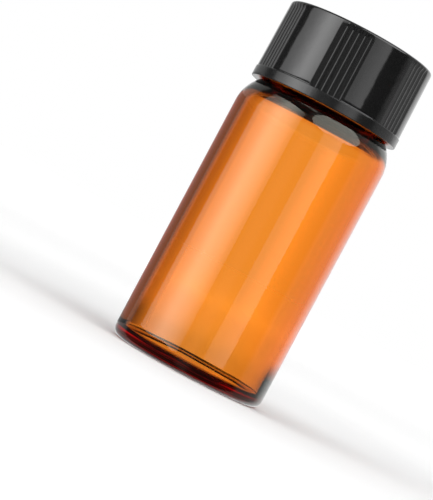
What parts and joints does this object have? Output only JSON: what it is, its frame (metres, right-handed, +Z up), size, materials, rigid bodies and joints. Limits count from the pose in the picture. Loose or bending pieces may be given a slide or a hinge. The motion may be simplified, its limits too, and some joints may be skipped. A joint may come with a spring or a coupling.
{
  "type": "glass sample vial",
  "caption": "Amber glass sample vial with a rounded shoulder, a narrow neck and a black ribbed screw cap with a sealing disc, for small liquid or powder samples.",
  "frame": {"origin": "centre of the foot, on the surface that the vial stands on", "axes": "+Z up along the axis of the vial and its cap, -Y towards the viewer of the picture, +X to the right"},
  "size_m": [0.022, 0.022, 0.05],
  "materials": {
    "amber_glass": "clear amber glass, fire polished",
    "black_phenolic": "moulded gloss black",
    "pale_foam": "foamed polyethylene, matt"
  },
  "bodies": {
    "vial": {"vial": "amber_glass"},
    "liner": {"liner": "pale_foam"},
    "cap": {"cap": "black_phenolic"}
  },
  "joints": [
    {"name": "cap_rise", "type": "slide", "parent": "vial", "child": "liner", "axis": [0, 0, 1], "range_m": [0, 0.004]},
    {"name": "cap_turn", "type": "hinge", "parent": "liner", "child": "cap", "pos_m": [0, 0, 0.0489], "axis": [0, 0, 1], "range_deg": [0, 450]}
  ],
  "couplings": [
    {"joint": "cap_rise", "follows": "cap_turn", "m_per_rad": 0.00050532}
  ]
}
